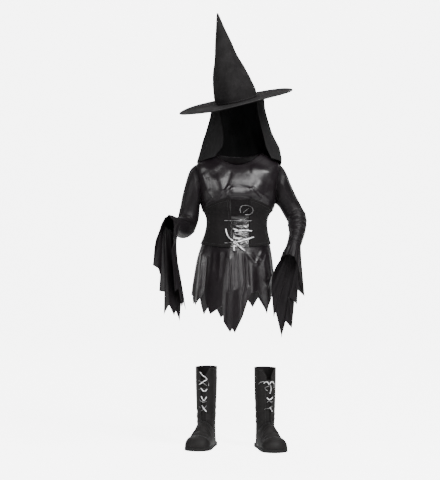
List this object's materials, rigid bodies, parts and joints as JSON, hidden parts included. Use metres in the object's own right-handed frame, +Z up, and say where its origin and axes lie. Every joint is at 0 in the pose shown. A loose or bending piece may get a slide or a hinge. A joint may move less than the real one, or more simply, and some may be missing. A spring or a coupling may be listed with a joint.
{
  "type": "witch costume",
  "caption": "Child's worn witch costume: long-sleeved dress with jagged hems, laced corset belt, pointed brimmed hat with a veil, and laced boots.",
  "frame": {"origin": "middle of the line between the wearer's shoulder points, where the wearer carries the dress", "axes": "+Z up, front towards -Y, the wearer's right arm towards -X"},
  "size_m": [0.5228, 0.4005, 1.4946],
  "materials": {
    "satin": "shiny stretch satin, black",
    "strip": "wet-look black cloth",
    "matte": "matte black cloth",
    "felt": "black-grey felt",
    "veil": "smooth matte black cloth",
    "leather": "soft black imitation leather",
    "rubber": "matte black rubber",
    "silver": "silver-grey shiny cord"
  },
  "bodies": {
    "root": {"bodice_front": "satin", "bodice_back": "satin", "sleeve_right": "satin", "sleeve_left": "satin", "cuff_right": "satin", "cuff_left": "satin", "skirt_front": "satin", "skirt_back": "satin", "corset_front_right": "matte", "corset_front_left": "matte", "corset_back": "matte", "corset_strip": "strip", "corset_lace_loop": "silver", "corset_lace_bar": "silver", "corset_lace_row": "silver", "corset_lace_upper_cross": "silver", "corset_lace_lower_cross": "silver", "corset_lace_end_upper": "silver", "corset_lace_end_across": "silver", "corset_lace_end_down": "silver", "corset_lace_end_slant": "silver", "corset_lace_knot": "silver", "hat_cone": "felt", "hat_brim": "felt", "veil": "veil", "boot_right_shaft": "leather", "boot_right_tongue": "leather", "boot_right_vamp": "leather", "boot_right_toe_cap": "leather", "boot_right_sole": "rubber", "boot_right_lace_cross_1": "silver", "boot_right_lace_cross_2": "silver", "boot_right_lace_cross_3": "silver", "boot_right_lace_cross_4": "silver", "boot_right_lace_end_up": "silver", "boot_right_lace_end_down": "silver", "boot_left_shaft": "leather", "boot_left_tongue": "leather", "boot_left_vamp": "leather", "boot_left_toe_cap": "leather", "boot_left_sole": "rubber", "boot_left_lace_cross_1": "silver", "boot_left_lace_cross_2": "silver", "boot_left_lace_cross_3": "silver", "boot_left_lace_cross_4": "silver", "boot_left_lace_end_up": "silver", "boot_left_lace_end_down": "silver"}
  },
  "joints": []
}
